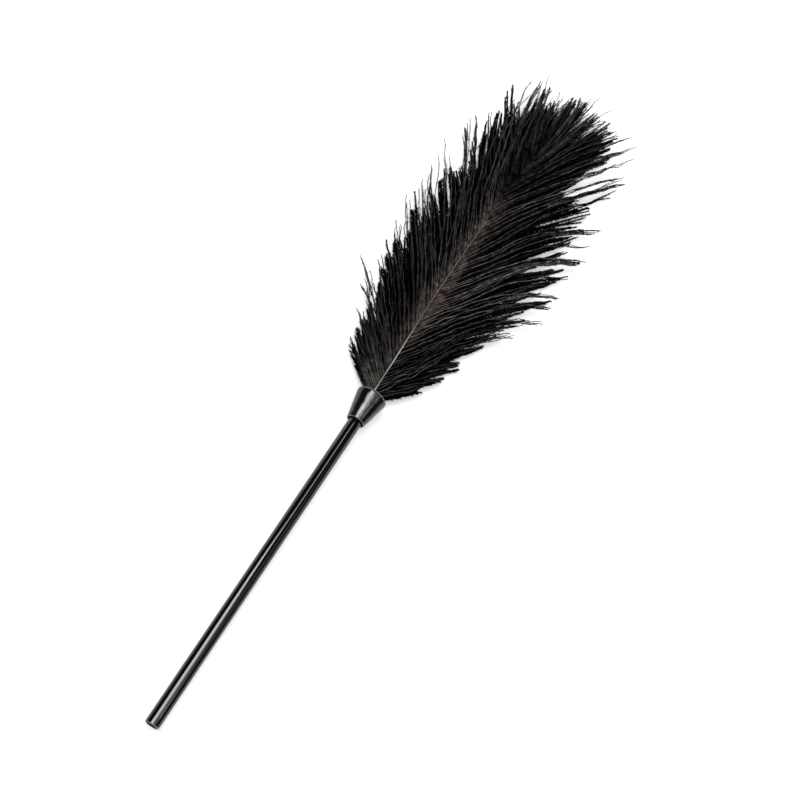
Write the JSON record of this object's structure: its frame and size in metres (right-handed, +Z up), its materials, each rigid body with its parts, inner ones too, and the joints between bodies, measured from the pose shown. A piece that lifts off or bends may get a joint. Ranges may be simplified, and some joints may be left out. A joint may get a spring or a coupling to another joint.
{
  "type": "feather duster",
  "caption": "Slim hand duster: a gloss black tube handle and flared plastic ferrule holding a flat plume of black ostrich feathers that sways sideways.",
  "frame": {"origin": "on the surface it lies on, under the middle of its overall length and the middle of its width, which is on the handle's axis", "axes": "+X along the duster from the handle's butt to the plume's tip, +Y to the left of that, +Z up; it lies at rest on the butt's lower edge, the ferrule's lip and the bottom feather"},
  "size_m": [0.3559, 0.0726, 0.0136],
  "materials": {
    "handle_plastic": "gloss black extruded plastic tube",
    "ferrule_plastic": "gloss black moulded plastic, slightly greyer than the handle",
    "glue": "set hot-melt glue, translucent amber",
    "thread": "dyed binding thread",
    "quill": "horn-like feather shaft, dyed grey, with a pale ridge",
    "feather": "dyed black ostrich barbs with downy barbules"
  },
  "bodies": {
    "handle": {"handle_tube": "handle_plastic", "ferrule": "ferrule_plastic", "glue_plug": "glue", "binding_thread": "thread", "top_quill": "quill", "middle_quill": "quill", "bottom_quill": "quill"},
    "top_feather": {"top_shaft": "quill", "top_vane_left": "feather", "top_vane_right": "feather"},
    "middle_feather": {"middle_shaft": "quill", "middle_vane_left": "feather", "middle_vane_right": "feather"},
    "bottom_feather": {"bottom_shaft": "quill", "bottom_vane_left": "feather", "bottom_vane_right": "feather"}
  },
  "joints": [
    {"name": "top_sway", "type": "hinge", "parent": "handle", "child": "top_feather", "pos_m": [-0.01883, 0, 0.00872], "axis": [0, 0, 1], "range_deg": [-15, 15], "stiffness_Nm_per_rad": 0.003},
    {"name": "middle_sway", "type": "hinge", "parent": "handle", "child": "middle_feather", "pos_m": [-0.01883, 0, 0.00682], "axis": [0, 0, 1], "range_deg": [-15, 15], "stiffness_Nm_per_rad": 0.003},
    {"name": "bottom_sway", "type": "hinge", "parent": "handle", "child": "bottom_feather", "pos_m": [-0.01883, 0, 0.00492], "axis": [0, 0, 1], "range_deg": [-15, 15], "stiffness_Nm_per_rad": 0.003}
  ]
}
